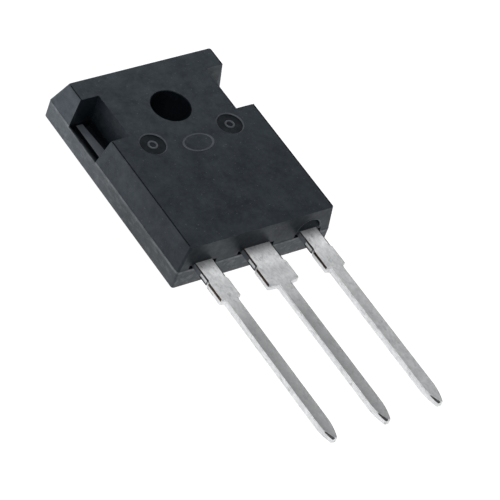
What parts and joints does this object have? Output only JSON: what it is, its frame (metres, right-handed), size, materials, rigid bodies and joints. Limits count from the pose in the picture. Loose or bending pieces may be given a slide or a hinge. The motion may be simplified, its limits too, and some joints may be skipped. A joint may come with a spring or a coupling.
{
  "type": "insulated-gate bipolar transistor",
  "caption": "Flat moulded power transistor package with a screw hole, side pockets, a bare metal back and flat through-hole leads with wide shoulders.",
  "frame": {"origin": "on the screw-hole axis, in the plane of the metal back", "axes": "+Z out of the front face along the screw hole, -Y along the leads towards their tips, +X across the package towards the emitter lead"},
  "size_m": [0.0158, 0.0409, 0.0047],
  "materials": {
    "moulding_compound": "fine matt mould texture",
    "tinned_copper": "matt tin plate",
    "silicon": "metallised silicon",
    "solder": "dull",
    "bond_aluminium": "drawn wire"
  },
  "bodies": {
    "root": {"housing": "moulding_compound", "collector_header": "tinned_copper", "gate_lead": "tinned_copper", "emitter_lead": "tinned_copper", "transistor_solder": "solder", "transistor_die": "silicon", "diode_solder": "solder", "diode_die": "silicon", "gate_wire": "bond_aluminium", "emitter_wire_inner": "bond_aluminium", "emitter_wire_outer": "bond_aluminium", "diode_wire_inner": "bond_aluminium", "diode_wire_outer": "bond_aluminium"}
  },
  "joints": []
}
